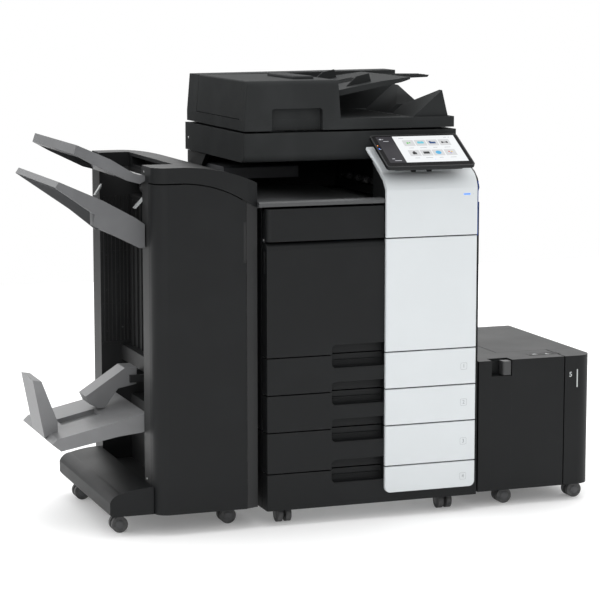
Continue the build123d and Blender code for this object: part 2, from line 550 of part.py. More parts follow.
with BuildPart() as finisher_body:
    core_x = (BAY_WALL_X, FIN_DOOR_RIGHT - 10)
    block((FIN_X[0] + COVER_T + 1, core_x[1]), (60, FIN_D), (FIN_Z, 97 - WELD))
    block((FIN_X[0], core_x[1]), (REAR_ARM_Y, FIN_D), (97, FIN_TOP))
    block((FIN_X[0] + 1, BAY_WALL_X - WELD), (60, ARM_D), (97, FIN_TOP))
    levels = ((97, BOOK_Z[0]), (BOOK_Z[1], EXIT_Z[0]), (EXIT_Z[1], FIN_TOP))
    for low, high in levels:
        block(core_x, FIN_CORE_Y, (low, high - WELD))
    for low, high in (BOOK_Z, EXIT_Z):
        block((core_x[0] + 80, core_x[1]), FIN_CORE_Y, (low, high - WELD))
    block((BAY_WALL_X - 28, BAY_WALL_X - WELD), (ARM_D + WELD, REAR_ARM_Y - WELD), (BOOK_Z[1], 431))
    for i in range(9):
        y = ARM_D + 40 + i * 44
        block((BAY_WALL_X - 6, BAY_WALL_X - WELD), (y, y + 10), (431 + WELD, EXIT_Z[0] - 12))
    for y in ((288, 297), (375, 384)):
        block((-300, BAY_WALL_X - WELD), y, (368, BOOK_Z[1] - WELD))
    plan_prism((FIN_Z, FIN_TOP), [(FIN_DOOR_RIGHT + 2, 3), (FIN_X[1], FIN_SLANT), (FIN_X[1], FIN_D),
                                  (FIN_DOOR_RIGHT - 2, FIN_D), (FIN_DOOR_RIGHT - 2, DOOR_T + 2),
                                  (FIN_DOOR_RIGHT - 9, DOOR_T + 2), (FIN_DOOR_RIGHT - 9, COVER_T + 1.5),
                                  (FIN_DOOR_RIGHT + 2, COVER_T + 1.5)])
    rod_y((297 + WELD, 375 - WELD), ARM_AXIS, 5)
    cut_above_gap()
save(finisher_body, "finisher_body")


def door_plan(inset):
    """Plan of the finisher's door: flat front, rounded left corner and short return."""
    with BuildSketch(Plane.XY.offset(FIN_Z)) as plan:
        with BuildLine():
            x0 = FIN_X[0] + inset
            radius = FIN_CORNER_R - inset
            front = Line((FIN_DOOR_RIGHT, inset), (x0 + radius, inset))
            corner = TangentArc(front @ 1, (x0, inset + radius), tangent=front % 1)
            Polyline(corner @ 1, (x0, 56), (FIN_DOOR_RIGHT, 56), front @ 0)
        make_face()
    return plan.sketch


with BuildPart() as finisher_door:
    extrude(door_plan(0), amount=FIN_TOP - FIN_Z)
    extrude(door_plan(COVER_T), amount=FIN_TOP - FIN_Z, mode=Mode.SUBTRACT)
    block((FIN_DOOR_RIGHT - 7, FIN_DOOR_RIGHT), (0, COVER_T), GRIP_Z, Mode.SUBTRACT)
    cut_above_gap(-SEAM)
save(finisher_door, "finisher_door")

with BuildPart() as finisher_top_cover:
    with BuildSketch(Plane.XZ.offset(-FIN_D)) as band:
        with BuildLine():
            flat = Line((FIN_X[0], FIN_TOP), (CURVE_X, FIN_TOP))
            bend = TangentArc(flat @ 1, (FIN_X[1], TOP_END_Z), tangent=(1, 0))
            Polyline(bend @ 1, (FIN_X[1], GAP_Z[1] - 60), (FIN_X[0], GAP_Z[1] - 60), flat @ 0)
        make_face()
    extrude(band.sketch, amount=FIN_D)
    with BuildSketch(Plane.XZ.offset(-FIN_D - 1)) as below:
        with BuildLine():
            flat = Line((FIN_X[0] - 20, GAP_Z[0]), (CURVE_X, GAP_Z[0]))
            bend = TangentArc(flat @ 1, (FIN_DOOR_RIGHT, GAP_Z[1]), tangent=(1, 0))
            Polyline(bend @ 1, (FIN_X[1] + 1, GAP_Z[1] - 20), (FIN_X[1] + 1, 700),
                     (FIN_X[0] - 20, 700), flat @ 0)
        make_face()
    extrude(below.sketch, amount=FIN_D + 2, mode=Mode.SUBTRACT)
    block((FIN_X[0] - 1, BAY_WALL_X), (ARM_D, REAR_ARM_Y), (GAP_Z[0] - 10, FIN_TOP + 1), Mode.SUBTRACT)
    block((BAY_WALL_X, BAY_WALL_X + 40), (ARM_D + 30, REAR_ARM_Y - 30), (GAP_Z[0] + 8, FIN_TOP - 10),
          Mode.SUBTRACT)
    uprights = finisher_top_cover.edges().filter_by(Axis.Z)
    fillet(uprights.group_by(Axis.X)[0].sort_by(Axis.Y)[0], radius=FIN_CORNER_R)
    plan_prism((GAP_Z[1] - 60, FIN_TOP), [(FIN_DOOR_RIGHT + 2, -1), (FIN_X[1] + 1, -1),
                                          (FIN_X[1] + 1, FIN_SLANT)], Mode.SUBTRACT)
save(finisher_top_cover, "finisher_top_cover")

with BuildPart() as finisher_exit_roller:
    axle = (BAY_WALL_X + 26, EXIT_Z[0] + 22)
    rod_y((ARM_D + 20, REAR_ARM_Y - 20), axle, 4)
    for i in range(6):
        y = ARM_D + 60 + i * 58
        rod_y((y, y + 22), axle, 15)
save(finisher_exit_roller, "finisher_exit_roller")

with BuildPart() as finisher_upper_tray:
    inner = FIN_X[0] - WELD
    front_prism(TRAY_Y, [(x, FIN_TOP + up) for x, up in (
        (-493, 60), (-403, 20.5), (-341, -17.5), (-325, -23), (inner, -25), (inner, -39), (-323, -47),
        (-359, -37), (-457, 11), (-501, 36))])
    front_prism((TRAY_Y[0] + 10, TRAY_Y[1] - 10), [(x, FIN_TOP + up) for x, up in (
        (-477, 47), (-403, 13), (-344, -22), (-326, -52), (-359, -45), (-457, 3), (-487, 20))],
        Mode.SUBTRACT)
save(finisher_upper_tray, "finisher_upper_tray")

with BuildPart() as elevator_tray:
    front_prism(TRAY_Y, [(x, EXIT_Z[0] + up) for x, up in (
        (-541, 85), (-423, 32), (-338, -15), (-311, -34), (-311, -96), (-325, -97), (-450, -33),
        (-447, -4), (-551, 70))])
    front_prism((TRAY_Y[0] + 10, TRAY_Y[1] - 10), [(x, EXIT_Z[0] + up) for x, up in (
        (-530, 72), (-423, 24), (-345, -19), (-319, -38), (-319, -108), (-444, -43), (-444, -12),
        (-536, 52))], Mode.SUBTRACT)
    front_prism(TRAY_TONGUE_Y, [(x, EXIT_Z[0] + up) for x, up in (
        (-311, -38), (BAY_WALL_X - 9, -79), (BAY_WALL_X - 9, -89), (-311, -50))])
save(elevator_tray, "elevator_tray")

with BuildPart() as booklet_tray:
    front_prism((ARM_D + 6, 480), [(-298, 312), (-545, 258), (-560, 244), (-536, 224), (-378, 254),
                                   (-318, 260), (-298, 264)])
    front_prism((262, 338), [(-392, 300), (-500, 276), (-500, 255), (-392, 279)], Mode.SUBTRACT)
    front_prism((205, 345), [(FENCE_X, 406), (FENCE_X + 24, 402), (-526, 290), (-526, 262),
                             (-545, 257.8), (-562, 246)])
save(booklet_tray, "booklet_tray")

with BuildPart() as booklet_arm:
    front_prism((298, 374), [(-278, 408), (-312, 408), (-424, 335), (-414, 314), (-388, 300),
                             (-370, 302), (-332, 352), (-280, 362)])
    rod_y((298, 374), ARM_AXIS, 5 + RUNNING, Mode.SUBTRACT)
save(booklet_arm, "booklet_arm")

FOOT_END = FIN_X[0] - 0.5
with BuildPart() as finisher_foot_cover:
    with BuildSketch(Plane.XZ.offset(-FOOT_Y[1])) as foot:
        with BuildLine():
            Polyline((FOOT_END, FIN_Z), (FOOT_X[0] + 6, FIN_Z), (FOOT_X[0], FIN_Z + 8), (FOOT_X[0], 96))
            ThreePointArc((FOOT_X[0], 96), (-418, 112), (-398, 119))
            ThreePointArc((-398, 119), (-355, 128), (FOOT_X[1], 131))
            Polyline((FOOT_X[1], 131), (FOOT_END, 131), (FOOT_END, FIN_Z))
        make_face()
    extrude(foot.sketch, amount=FOOT_Y[1] - FOOT_Y[0])
save(finisher_foot_cover, "finisher_foot_cover")

# ================================ side paper deck ============================================
LID_T = 5.5
SKIN = 16.0                 # deck front panel
POCKET_BACK = DECK_Y[0] + SKIN + 20.0
with BuildPart() as deck_body:
    left, right = DECK_X
    low, high = DECK_Z
    rim = high - 6
    skin_y = (DECK_Y[0], DECK_Y[0] + SKIN)
    corner_y = DECK_Y[0] + DECK_R
    pocket_z = high - LEVER_H
    block((left, LEVER_X[0]), skin_y, (low, rim - WELD))
    block((LEVER_X[0] + WELD, LEVER_X[1] - WELD), skin_y, (low, pocket_z))
    block((LEVER_X[1], DECK_SEAM_X - SEAM / 2), skin_y, (low, rim - WELD))
    with BuildSketch(Plane.XY.offset(low)) as plan:
        with BuildLine():
            front = Line((DECK_SEAM_X + SEAM / 2, DECK_Y[0]), (right - DECK_R, DECK_Y[0]))
            corner = TangentArc(front @ 1, (right, corner_y), tangent=front % 1)
            Polyline(corner @ 1, (right - SKIN, corner_y))
            inner = TangentArc((right - SKIN, corner_y), (right - DECK_R, skin_y[1]), tangent=(0, -1))
            Polyline(inner @ 1, (DECK_SEAM_X + SEAM / 2, skin_y[1]), front @ 0)
        make_face()
    extrude(plan.sketch, amount=high - low)
    back = skin_y[1] + WELD
    block((LEVER_X[0] - 5, LEVER_X[1] + 5), (POCKET_BACK - 4, POCKET_BACK), (pocket_z, rim - WELD))
    block((LEVER_X[0] - 5, LEVER_X[1] + 5), (back, POCKET_BACK), (pocket_z - 5, pocket_z - WELD))
    for x in ((LEVER_X[0] - 5, LEVER_X[0]), (LEVER_X[1], LEVER_X[1] + 5)):
        block(x, (back, POCKET_BACK - 4 - WELD), (pocket_z, rim - WELD))
    sides = (POCKET_BACK + WELD, DECK_Y[1] - FRAME_T - WELD)
    block((left, left + FRAME_T), sides, (low, rim - WELD))
    block((right - FRAME_T, right), (corner_y + WELD, sides[1]), (low, rim - WELD))
    block((left, right), (sides[1] + WELD, DECK_Y[1]), (low, rim - WELD))
    block((left + FRAME_T + WELD, right - FRAME_T - WELD), sides, (low, low + FRAME_T))
    block((left, LEVER_X[0]), (DECK_Y[0], POCKET_BACK), (rim, high))
    block((LEVER_X[1], DECK_SEAM_X - SEAM / 2), (DECK_Y[0], POCKET_BACK), (rim, high))
    block((left, DECK_SEAM_X - SEAM / 2), (POCKET_BACK + WELD, DECK_LID_Y[0]), (rim, high))
    with BuildSketch(Plane.XY.offset(rim)) as plan:
        with BuildLine():
            radius = DECK_R - SKIN - WELD
            front = Line((DECK_SEAM_X + SEAM / 2, corner_y - radius), (right - DECK_R, corner_y - radius))
            corner = TangentArc(front @ 1, (right - DECK_R + radius, corner_y), tangent=front % 1)
            Polyline(corner @ 1, (DECK_SEAM_X + SEAM / 2, corner_y), front @ 0)
        make_face()
    extrude(plan.sketch, amount=high - rim)
    block((DECK_SEAM_X + SEAM / 2, right), (corner_y + WELD, DECK_LID_Y[0]), (rim, high))
    block((left, DECK_LID_X[0]), (DECK_LID_Y[0] + WELD, DECK_LID_Y[1]), (rim, high))
    block((left, right), (DECK_LID_Y[1] + WELD, DECK_Y[1]), (rim, high))
    rear = deck_body.edges().filter_by(Axis.Z).sort_by_distance((right, DECK_Y[1], high - 3))[0]
    fillet(rear, radius=5)
save(deck_body, "deck_body")

with BuildPart() as deck_lid:
    block((DECK_LID_X[0] + 2, DECK_X[1]), (DECK_LID_Y[0] + 1, DECK_LID_Y[1] - 1),
          (DECK_Z[1] - LID_T, DECK_Z[1]))
save(deck_lid, "deck_lid")

with BuildPart() as deck_lever:
    block((LEVER_X[1] - 27, LEVER_X[1] - 0.5), (DECK_Y[0] + 1, DECK_Y[0] + 28),
          (DECK_Z[1] - LEVER_H + 2, DECK_Z[1] - 4))
    fillet(deck_lever.edges().filter_by(Axis.Z).group_by(Axis.Y)[0].sort_by(Axis.X)[0], radius=8)
    fillet(deck_lever.edges().filter_by(Axis.Z).group_by(Axis.Y)[0].sort_by(Axis.X)[-1], radius=5)
save(deck_lever, "deck_lever")


# ================================ casters ====================================================
def fork(plane, swivel, under, trail):
    """Top plate, spine between the wheels, and axle of one twin-wheel caster.

    The plane's X runs along the rolling direction and its Z along the axle.
    """
    with BuildSketch(Plane.XY.offset(under - PLATE_T)) as plate:
        with Locations(swivel):
            Circle(STEM_R)
    extrude(plate.sketch, amount=PLATE_T)
    with BuildSketch(plane.offset(-SPINE_T / 2)) as spine:
        with BuildLine():
            Polyline((-STEM_R + 3, under - PLATE_T), (STEM_R - 3, under - PLATE_T),
                     (trail + 8, WHEEL_R), (trail - 8, WHEEL_R), close=True)
        make_face()
        with Locations((trail, WHEEL_R)):
            Circle(8)
    extrude(spine.sketch, amount=SPINE_T)
    with BuildSketch(plane.offset(-WHEEL_SPREAD + 1)) as axle:
        with Locations((trail, WHEEL_R)):
            Circle(AXLE_R)
    extrude(axle.sketch, amount=2 * WHEEL_SPREAD - 2)


def wheels(plane, trail):
    """The two tyred wheels of one caster."""
    for face in (SPINE_T / 2 + 0.5, -WHEEL_SPREAD):
        with BuildSketch(plane.offset(face)) as disc:
            with Locations((trail, WHEEL_R)):
                Circle(WHEEL_R)
                Circle(AXLE_R + RUNNING, mode=Mode.SUBTRACT)
        extrude(disc.sketch, amount=WHEEL_SPREAD - SPINE_T / 2 - 0.5)


def along_y(x, y):
    """Plane of a caster that rolls along Y: its X is the machine's Y, its normal the machine's X."""
    return Plane(origin=(x, y, 0), x_dir=(0, 1, 0), z_dir=(1, 0, 0))


def along_x(x, y):
    """Plane of a caster that rolls along X: its X is the machine's X, its normal the machine's -Y."""
    return Plane(origin=(x, y, 0), x_dir=(1, 0, 0), z_dir=(0, -1, 0))


SWIVEL_Y = MAIN_FRONT_AXLE_Y + TRAIL
for side, x in zip(("left", "right"), MAIN_CASTER_X):
    with BuildPart() as caster_fork:
        fork(along_y(x, SWIVEL_Y), (x, SWIVEL_Y), FIN_Z, -TRAIL)
    save(caster_fork, f"caster_fork_{side}")
    with BuildPart() as caster_wheels:
        wheels(along_y(x, SWIVEL_Y), -TRAIL)
    save(caster_wheels, f"caster_wheels_{side}")

with BuildPart() as fixed_caster_forks:
    for x in MAIN_CASTER_X:
        fork(along_y(x, MAIN_REAR_AXLE_Y), (x, MAIN_REAR_AXLE_Y), FIN_Z, 0)
    for x in FIN_CASTER_X:
        for y in FIN_CASTER_Y:
            fork(along_x(x, y), (x, y), FIN_Z, 0)
save(fixed_caster_forks, "fixed_caster_forks")

with BuildPart() as main_rear_wheels:
    for x in MAIN_CASTER_X:
        wheels(along_y(x, MAIN_REAR_AXLE_Y), 0)
save(main_rear_wheels, "main_rear_wheels")

for side, x in zip(("left", "right"), FIN_CASTER_X):
    with BuildPart() as finisher_wheels:
        for y in FIN_CASTER_Y:
            wheels(along_x(x, y), 0)
    save(finisher_wheels, f"finisher_wheels_{side}")

with BuildPart() as deck_caster_forks:
    for x in DECK_CASTER_X:
        for y in DECK_CASTER_Y:
            fork(along_x(DECK_X[0] + x, y), (DECK_X[0] + x, y), DECK_Z[0], 0)
save(deck_caster_forks, "deck_caster_forks")

for side, x in zip(("left", "right"), DECK_CASTER_X):
    with BuildPart() as deck_wheels:
        for y in DECK_CASTER_Y:
            wheels(along_x(DECK_X[0] + x, y), 0)
    save(deck_wheels, f"deck_wheels_{side}")
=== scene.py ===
"""Looks of an office photocopier with a document feeder, a stapling finisher and a side paper
deck."""
import math

import bmesh
import bpy
import numpy as np
from mathutils import Matrix, Vector


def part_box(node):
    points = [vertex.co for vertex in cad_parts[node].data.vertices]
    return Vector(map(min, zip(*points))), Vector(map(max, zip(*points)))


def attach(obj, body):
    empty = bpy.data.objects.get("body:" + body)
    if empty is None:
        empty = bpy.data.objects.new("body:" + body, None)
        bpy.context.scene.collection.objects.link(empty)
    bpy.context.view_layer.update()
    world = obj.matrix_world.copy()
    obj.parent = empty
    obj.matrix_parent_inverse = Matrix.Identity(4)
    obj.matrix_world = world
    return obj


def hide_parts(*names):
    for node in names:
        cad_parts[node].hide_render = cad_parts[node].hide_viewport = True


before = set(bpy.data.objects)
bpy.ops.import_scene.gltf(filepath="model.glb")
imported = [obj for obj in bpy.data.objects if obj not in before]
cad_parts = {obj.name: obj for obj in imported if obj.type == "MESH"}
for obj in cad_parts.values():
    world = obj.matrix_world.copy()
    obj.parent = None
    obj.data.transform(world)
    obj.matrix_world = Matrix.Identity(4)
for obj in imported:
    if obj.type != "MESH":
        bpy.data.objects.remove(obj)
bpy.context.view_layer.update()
scene = bpy.context.scene
MM = 0.001
corner_of_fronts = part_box("drawer_2")[0]


def at(x, y, z):
    """A point in metres from millimetres: x to the right of the drawer fronts' left edge, y to
    the back of their face and z above the floor."""
    return np.array([corner_of_fronts.x + x * MM, corner_of_fronts.y + y * MM, z * MM])


# ================================ room and camera ============================================
# A pale floor, a white surround that is brighter behind the machine, and two soft lamps: a broad
# one in front on the left and one overhead. The camera stands at the machine's left front, a
# little above its top.
camera = bpy.data.objects.new("camera", bpy.data.cameras.new("camera"))
camera.data.lens, camera.data.sensor_width = 133.69, 36.0
camera.location = at(-1898.93, -5553.98, 1479.02)
camera.rotation_euler = (math.radians(81.6994), 0.0, math.radians(-19.734))
camera.data.clip_end = 60.0
scene.collection.objects.link(camera)
scene.camera = camera
scene.view_settings.view_transform = "Standard"

world = bpy.data.worlds.new("surround")
world.use_nodes = True
sky = world.node_tree.nodes
looking = sky.new("ShaderNodeTexCoord")
height = sky.new("ShaderNodeSeparateXYZ")
glow = sky.new("ShaderNodeMapRange")
for socket, value in (("From Min", 0.04), ("From Max", 0.21), ("To Min", 0.06), ("To Max", 1.12)):
    glow.inputs[socket].default_value = value
behind = sky.new("ShaderNodeMapRange")
for socket, value in (("From Min", -1.0), ("From Max", 1.0), ("To Min", 0.5), ("To Max", 1.75)):
    behind.inputs[socket].default_value = value
both = sky.new("ShaderNodeMath")
both.operation = "MULTIPLY"
seen = sky.new("ShaderNodeLightPath")
bright = sky.new("ShaderNodeMix")
bright.inputs["B"].default_value = 1.0
for start, end in ((looking.outputs["Generated"], height.inputs[0]),
                   (height.outputs["Z"], glow.inputs["Value"]),
                   (height.outputs["Y"], behind.inputs["Value"]),
                   (glow.outputs[0], both.inputs[0]), (behind.outputs[0], both.inputs[1]),
                   (seen.outputs["Is Camera Ray"], bright.inputs["Factor"]),
                   (both.outputs[0], bright.inputs["A"]),
                   (bright.outputs[0], sky["Background"].inputs["Strength"])):
    world.node_tree.links.new(start, end)
sky["Background"].inputs["Color"].default_value = (1.0, 1.0, 1.0, 1.0)
scene.world = world

for name, place, aim, size, watts in (
        ("front_lamp", (-1.7, -5.0, 3.1), (0.0, 0.0, 0.6), 3.0, 70.0),
        ("top_lamp", (0.2, 0.2, 4.4), (0.0, 0.0, 0.8), 3.4, 60.0)):
    lamp = bpy.data.objects.new(name, bpy.data.lights.new(name, "AREA"))
    lamp.data.energy, lamp.data.size = watts, size
    lamp.location = place
    away = Vector(place) - Vector(aim)
    lamp.rotation_euler = away.to_track_quat("Z", "Y").to_euler()
    scene.collection.objects.link(lamp)

floor_mesh = bpy.data.meshes.new("floor")
floor_mesh.from_pydata([(-7, -9, 0), (7, -9, 0), (7, 4.6, 0), (-7, 4.6, 0)], [], [(0, 1, 2, 3)])
floor = bpy.data.objects.new("floor", floor_mesh)
scene.collection.objects.link(floor)
floor_paint = bpy.data.materials.new("floor_paint")
floor_paint.use_nodes = True
for socket, value in (("Base Color", (0.9, 0.9, 0.9, 1.0)), ("Roughness", 0.9),
                      ("Emission Color", (1.0, 1.0, 1.0, 1.0)), ("Emission Strength", 0.16)):
    floor_paint.node_tree.nodes["Principled BSDF"].inputs[socket].default_value = value
floor_mesh.materials.append(floor_paint)


# ================================ charcoal covers ============================================
# The outer covers are injection moulded in charcoal plastic with a fine sparked grain. The scanner
# and feeder are a matt grade. The stacking bay and the output tray take paler blacks, lightened as
# painted light against the shade they stand in. All are screwed to the steel frame, apart from the
# doors, drawers and lids.
class Signal:
    """A value on its way through a material's nodes. Operators add Math nodes, node() any other."""

    def __init__(self, tree, socket=None):
        self.tree, self.socket = tree, socket

    def node(self, kind, settings=None, sockets=None, out=0):
        """Adds a node: its settings first, then the values or links of its sockets."""
        made = self.tree.nodes.new(kind)
        for key, value in (settings or {}).items():
            if key == "stops":
                ramp = made.color_ramp
                while len(ramp.elements) < len(value):
                    ramp.elements.new(0.5)
                for element, (position, colour) in zip(ramp.elements, value):
                    element.position, element.color = position, colour
            else:
                setattr(made, key, value)
        for key, value in (sockets or {}).items():
            if isinstance(value, Signal):
                self.tree.links.new(value.socket, made.inputs[key])
            elif value is not None:
                made.inputs[key].default_value = value
        return Signal(self.tree, made.outputs[out])

    def math(self, operation, *values):
        return self.node("ShaderNodeMath", {"operation": operation}, dict(enumerate(values)))

    def __add__(self, other):
        return self.math("ADD", self, other)

    __radd__ = __add__

    def __mul__(self, other):
        return self.math("MULTIPLY", self, other)

    __rmul__ = __mul__

    def __sub__(self, other):
        return self.math("SUBTRACT", self, other)

    def __rsub__(self, other):
        return self.math("SUBTRACT", other, self)

    def rise(self, low, high):
        """0 below low, 1 above high, and a smooth climb between."""
        return self.node("ShaderNodeMapRange", {"interpolation_type": "SMOOTHSTEP"},
                         {"Value": self, "From Min": low, "From Max": high})

    def noise(self, place, scale, detail=2.0):
        return self.node("ShaderNodeTexNoise", None,
                         {"Vector": place, "Scale": scale, "Detail": detail})

    def blend(self, first, second):
        """The first colour where this signal is 0 and the second where it is 1."""
        return self.node("ShaderNodeMix", {"data_type": "RGBA"},
                         {"Factor": self, 6: first, 7: second}, out=2)


def finish_of(name, paint, **shader):
    """New material. paint(start, place) gives what goes into the shader's varying sockets."""
    made = bpy.data.materials.new(name)
    made.use_nodes = True
    start = Signal(made.node_tree)
    place = start.node("ShaderNodeTexCoord", out=3)
    surface = made.node_tree.nodes["Principled BSDF"]
    for key, value in {**shader, **paint(start, place)}.items():
        if isinstance(value, Signal):
            made.node_tree.links.new(value.socket, surface.inputs[key])
        else:
            surface.inputs[key].default_value = value
    return made


def moulded(name, colour, rough, grain=1500.0, depth=0.00004, edge_rub_and_highlight=0.35, dusted=1.18, edge=0.0009,
            **shader):
    """Moulded plastic: sparked grain, slow changes of gloss, and softened edges painted a little
    paler, partly as rub wear and partly as a painted highlight."""
    pale = tuple(c + (1.0 - c) * 0.16 for c in colour) + (1.0,)
    dusty = tuple(c * dusted for c in colour) + (1.0,)
    flat = tuple(colour) + (1.0,)

    def paint(start, place):
        soft = start.node("ShaderNodeBevel", {"samples": 4}, {"Radius": edge})
        true = start.node("ShaderNodeNewGeometry", out=1)
        turn = start.node("ShaderNodeVectorMath", {"operation": "DOT_PRODUCT"},
                          {0: soft, 1: true}, out=1)
        patches = start.noise(place, 9.0, 3.0)
        scuffs = start.noise(place, 60.0, 4.0)
        # Edges are painted paler: partly wear where they are handled, partly a painted highlight
        # where they meet the light.
        rubbed_and_highlit = (1.0 - turn).rise(0.02, 0.3) * scuffs.rise(0.35, 0.7) * edge_rub_and_highlight
        dust = patches.rise(0.42, 0.72)
        fine = start.noise(place, grain, 1.0)
        bump = start.node("ShaderNodeBump", None, {"Strength": 0.6, "Distance": depth,
                                                   "Height": fine, "Normal": soft})
        return {"Base Color": rubbed_and_highlit.blend(dust.blend(flat, dusty), pale),
                "Roughness": (patches - 0.5) * 0.12 + (fine - 0.5) * 0.1 + rough,
                "Normal": bump}
    return finish_of(name, paint, **shader)


def wear(material, *nodes):
    """Gives carried-over CAD nodes one material."""
    for node in nodes:
        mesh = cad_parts[node].data
        mesh.materials.clear()
        mesh.materials.append(material)


charcoal = moulded("charcoal_plastic", (0.0076, 0.0083, 0.0088), 0.5,
                   **{"Specular IOR Level": 0.21})
wear(charcoal, "left_covers", "right_cover", "rear_cover", "column_housing", "upper_frame",
     "upper_front_door", "lower_front_door", "finisher_door", "finisher_top_cover",
     "finisher_foot_cover", "deck_body", "deck_lid", "drawer_1", "drawer_2", "drawer_3", "drawer_4")
matt = moulded("matt_charcoal", (0.0275, 0.029, 0.0295), 0.6, **{"Specular IOR Level": 0.02})
wear(matt, "scanner_housing", "feeder_base", "feeder_end_covers", "feeder_cover",
     "feeder_input_tray", "document_guide_front", "document_guide_rear")
# The bay's black is a paler copy of the covers' charcoal, lightened as painted light against the
# shade in the bay.
bay_black_painted_light = moulded("bay_black_painted_light", (0.018, 0.0185, 0.019), 0.5, **{"Specular IOR Level": 0.3})
wear(bay_black_painted_light, "finisher_body")
# The output tray's black is a paler copy of the charcoal, lightened as painted light against the
# tray's shade.
tray_black_painted_light = moulded("tray_black_painted_light", (0.06, 0.062, 0.064), 0.46)
wear(tray_black_painted_light, "output_tray")

# ================================ white panels ===============================================
# Off-white moulded panels clipped to the fronts of the column, the door and the four drawers.
white = moulded("white_plastic", (0.63, 0.66, 0.675), 0.42, depth=0.00003, edge_rub_and_highlight=0.1, dusted=1.015)
wear(white, "column_cover", "lower_door_panel", "drawer_panel_1", "drawer_panel_2",
     "drawer_panel_3", "drawer_panel_4", "platen_pad")

# ================================ grey trays =================================================
# Grey moulded trays hung on the finisher: the two stacking trays are darker than the booklet tray
# and its arm, and the deck's release lever is darker still.
grey = moulded("grey_plastic", (0.165, 0.167, 0.171), 0.45)
wear(grey, "booklet_tray", "booklet_arm")
dark_grey = moulded("dark_grey_plastic", (0.105, 0.107, 0.111), 0.45)
wear(dark_grey, "finisher_upper_tray", "elevator_tray")
lever_grey = moulded("lever_plastic", (0.04, 0.041, 0.042), 0.45)
wear(lever_grey, "deck_lever")

# ================================ steel frame ================================================
# The inner frame is folded from zinc-coated sheet with its faint spangle and rolled streaks.
def sheet_steel(name, colour, rough, streak=(3.0, 3.0, 140.0)):
    """Zinc-coated or brushed steel: spangle cells under fine streaks, softened edges."""
    def paint(start, place):
        stretched = start.node("ShaderNodeMapping", None, {"Vector": place, "Scale": streak})
        lines = start.noise(stretched, 6.0, 3.0)
        cells = start.node("ShaderNodeTexVoronoi", None, {"Vector": place, "Scale": 160.0}, out=1)
        tone = start.node("ShaderNodeSeparateColor", None, {"Color": cells})
        soft = start.node("ShaderNodeBevel", {"samples": 4}, {"Radius": 0.0006})
        dark = tuple(c * 0.78 for c in colour) + (1.0,)
        return {"Base Color": (tone * 0.5 + lines * 0.5).blend(dark, tuple(colour) + (1.0,)),
                "Roughness": (lines - 0.5) * 0.2 + rough,
                "Normal": start.node("ShaderNodeBump", None, {"Strength": 0.3, "Distance": 0.00005,
                                                              "Height": lines, "Normal": soft})}
    return finish_of(name, paint, Metallic=1.0)


zinc = sheet_steel("zinc_coated_sheet", (0.62, 0.63, 0.63), 0.38)
wear(zinc, "chassis")

# ================================ solid shapes for the trim ==================================
# Trim parts are closed solids: plates, turned pieces, straight bars and raised figures.
def settle(made, body, material, sharp=35.0):
    """Faces outward, edges sharp above an angle, one material, riding on a body."""
    mesh = made.data
    shape = bmesh.new()
    shape.from_mesh(mesh)
    if shape.calc_volume(signed=True) < 0:
        mesh.flip_normals()
    shape.free()
    mesh.shade_smooth()
    mesh.set_sharp_from_angle(angle=math.radians(sharp))
    mesh.materials.clear()
    mesh.materials.append(material)
    scene.collection.objects.link(made)
    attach(made, body)
    return made


def skin(name, rings, body, material, sharp=35.0):
    """Closed surface through rings of points: each ring is joined to the next by four-sided
    faces, and the first and the last are closed by one face each. Several solids may be given,
    one after another, as a list of ring stacks."""
    stacks = rings if isinstance(rings, list) else [rings]
    points, faces, count = [], [], 0
    for stack in stacks:
        stack = np.asarray(stack, float)
        rows, around = stack.shape[:2]
        index = count + np.arange(rows * around).reshape(rows, around)
        after = np.roll(index, -1, axis=1)
        sides = np.stack([index[:-1], after[:-1], after[1:], index[1:]], -1)
        faces += sides.reshape(-1, 4).tolist()
        faces += [index[0, ::-1].tolist(), index[-1].tolist()]
        points.append(stack.reshape(-1, 3))
        count += rows * around
    mesh = bpy.data.meshes.new(name)
    mesh.from_pydata(np.concatenate(points).tolist(), [], faces)
    return settle(bpy.data.objects.new(name, mesh), body, material, sharp)


X, Y, Z = np.eye(3)


def loop(width, height, corner, steps=6):
    """Rounded rectangle about the origin: a quarter circle about each corner's own centre."""
    turn = np.radians(np.arange(4)[:, None] * 90.0 + np.linspace(0, 90, steps)).ravel()
    side = np.repeat([[1, 1], [-1, 1], [-1, -1], [1, -1]], steps, axis=0)
    centre = side * (np.array([width, height]) / 2 - corner)
    return centre + corner * np.stack([np.cos(turn), np.sin(turn)], -1)


def pad(centre, across, up, size, thick, corner=2.0, edge=0.5):
    """Rings of a rounded plate: its outline rises from the back at centre, and a quarter circle
    draws it in at the front edge. The front looks along across x up."""
    turn = np.radians(np.linspace(0, 90, 4))
    inset = np.concatenate([[0.0], edge * (1 - np.cos(turn))])
    lift = np.concatenate([[0.0], thick - edge + edge * np.sin(turn)])
    out = np.cross(across, up)
    rings = []
    for i, h in zip(inset, lift):
        flat = loop(size[0] - 2 * i, size[1] - 2 * i, max(corner - i, 0.04)) * MM
        rings.append(centre + flat[:, :1] * across + flat[:, 1:] * up + out * h * MM)
    return np.array(rings)


def turned(start, along, stations, steps=28):
    """Rings of a turned piece: at each (distance, radius) a circle about the line from start."""
    along = np.asarray(along, float)
    side = np.cross(along, Z if abs(along[2]) < 0.9 else X)
    side /= np.linalg.norm(side)
    turn = np.linspace(0, 2 * np.pi, steps, endpoint=False)[:, None]
    ring = np.cos(turn) * side + np.sin(turn) * np.cross(along, side)
    return np.array([start + along * d * MM + ring * r * MM for d, r in stations])


def bar(outline, start, end):
    """Rings of a straight bar: a closed outline of points carried from start to end."""
    outline = np.asarray(outline, float)
    return np.array([outline + start, outline + end])


